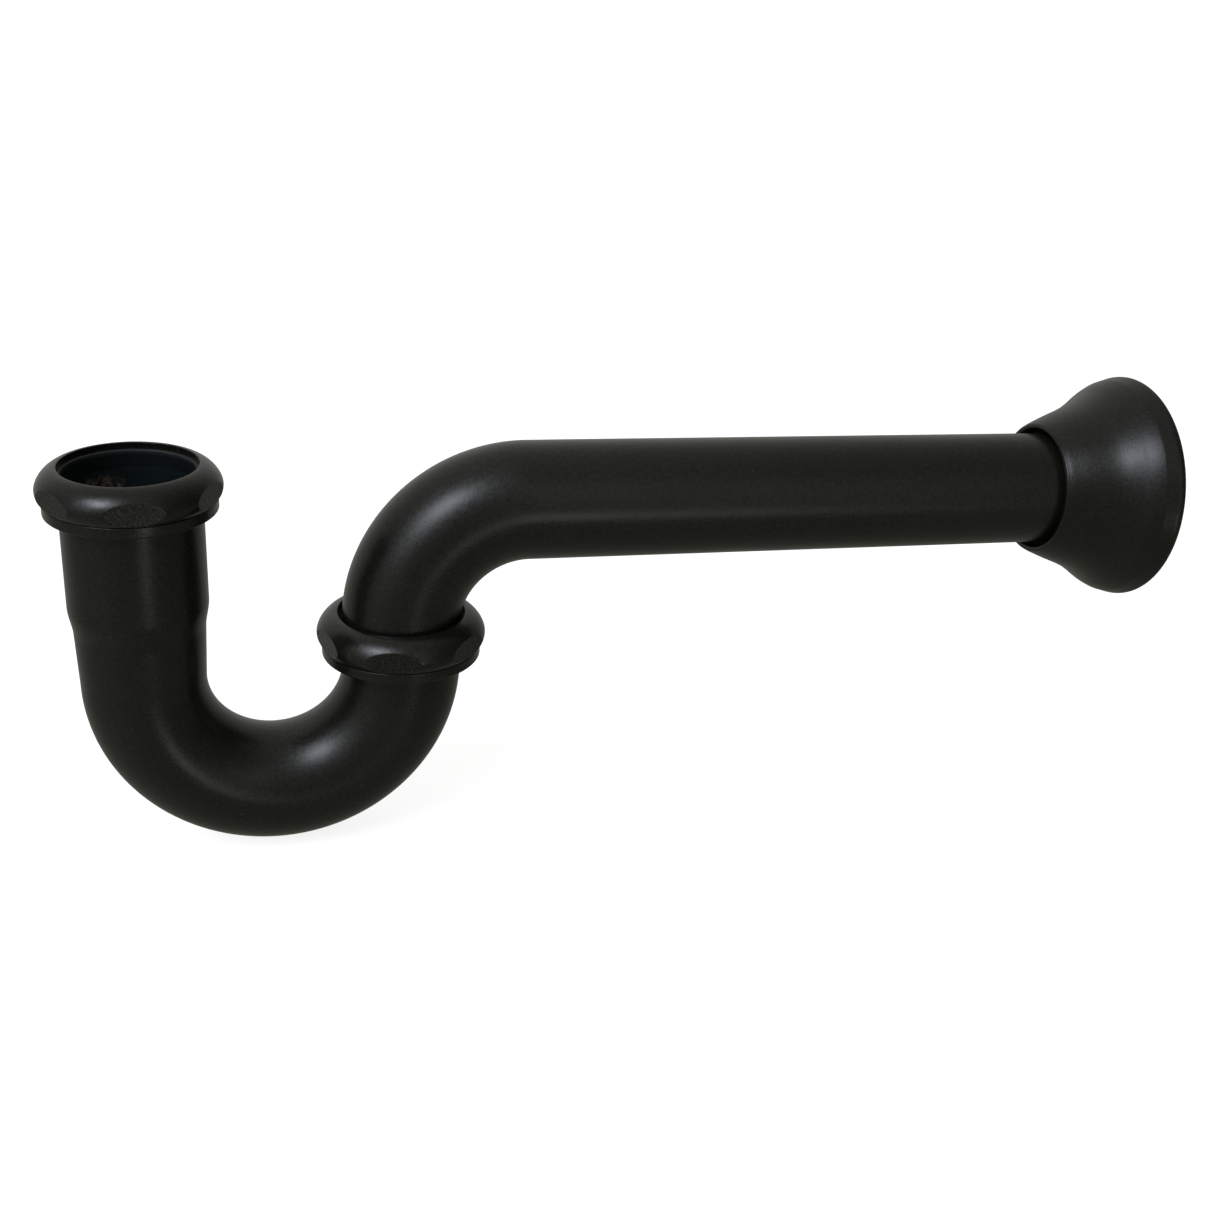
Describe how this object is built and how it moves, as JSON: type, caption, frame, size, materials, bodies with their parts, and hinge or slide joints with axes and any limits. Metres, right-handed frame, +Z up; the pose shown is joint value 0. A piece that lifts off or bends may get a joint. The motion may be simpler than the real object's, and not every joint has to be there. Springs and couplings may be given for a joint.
{
  "type": "p trap",
  "caption": "Tubular P trap: U bend with slip-joint inlet nut, union nut, wall bend with long straight arm, and a bell flange at the wall.",
  "frame": {"origin": "centre of the inlet socket's mouth, where the tailpiece enters", "axes": "+Z up along the inlet, +X level towards the wall in the plane of both bends, +Y completes the right-handed frame"},
  "size_m": [0.367, 0.0772, 0.1472],
  "materials": {
    "coated_tube": "satin black coating on brass tube",
    "coated_casting": "satin black coating on cast brass, milled flats left rough",
    "coated_spinning": "satin black coating on spun brass",
    "brass": "bare machined brass, hidden in the joints",
    "rubber": "moulded black rubber",
    "ring_plastic": "smooth dark grey nylon"
  },
  "bodies": {
    "trap_bend": {"trap_bend_tube": "coated_tube", "inlet_ferrule": "brass", "inlet_slip_washer": "rubber", "outlet_ferrule": "brass", "outlet_gasket": "rubber"},
    "inlet_ring": {"inlet_friction_ring": "ring_plastic"},
    "inlet_nut": {"inlet_slip_nut": "coated_casting"},
    "wall_arm": {"wall_bend_tube": "coated_tube", "wall_bend_collar": "brass"},
    "union_ring": {"union_friction_ring": "ring_plastic"},
    "union_nut_body": {"union_nut": "coated_casting"},
    "flange_grip": {"flange_grip_ring": "rubber"},
    "wall_flange": {"bell_flange": "coated_spinning"}
  },
  "joints": [
    {"name": "inlet_nut_rise", "type": "slide", "parent": "trap_bend", "child": "inlet_ring", "axis": [0, 0, 1], "range_m": [0, 0.00663]},
    {"name": "inlet_nut_turn", "type": "hinge", "parent": "inlet_ring", "child": "inlet_nut", "pos_m": [0, 0, 0], "axis": [0, 0, 1], "range_deg": [0, 1080]},
    {"name": "wall_arm_swivel", "type": "hinge", "parent": "trap_bend", "child": "wall_arm", "pos_m": [0.08074, 0, -0.05281], "axis": [0, 0, 1], "range_deg": [-140, 140]},
    {"name": "union_nut_rise", "type": "slide", "parent": "trap_bend", "child": "union_ring", "axis": [0, 0, 1], "range_m": [0, 0.00332]},
    {"name": "union_nut_turn", "type": "hinge", "parent": "union_ring", "child": "union_nut_body", "pos_m": [0.08074, 0, -0.05976], "axis": [0, 0, 1], "range_deg": [0, 540]},
    {"name": "flange_slide", "type": "slide", "parent": "wall_arm", "child": "flange_grip", "axis": [0.9998, 0, -0.0209], "range_m": [-0.125, 0]},
    {"name": "flange_turn", "type": "hinge", "parent": "flange_grip", "child": "wall_flange", "pos_m": [0.30334, 0, -0.01339], "axis": [0.9998, 0, -0.0209], "continuous": true}
  ],
  "couplings": [
    {"joint": "inlet_nut_rise", "follows": "inlet_nut_turn", "m_per_rad": 0.00035152},
    {"joint": "union_nut_rise", "follows": "union_nut_turn", "m_per_rad": 0.00035152}
  ]
}
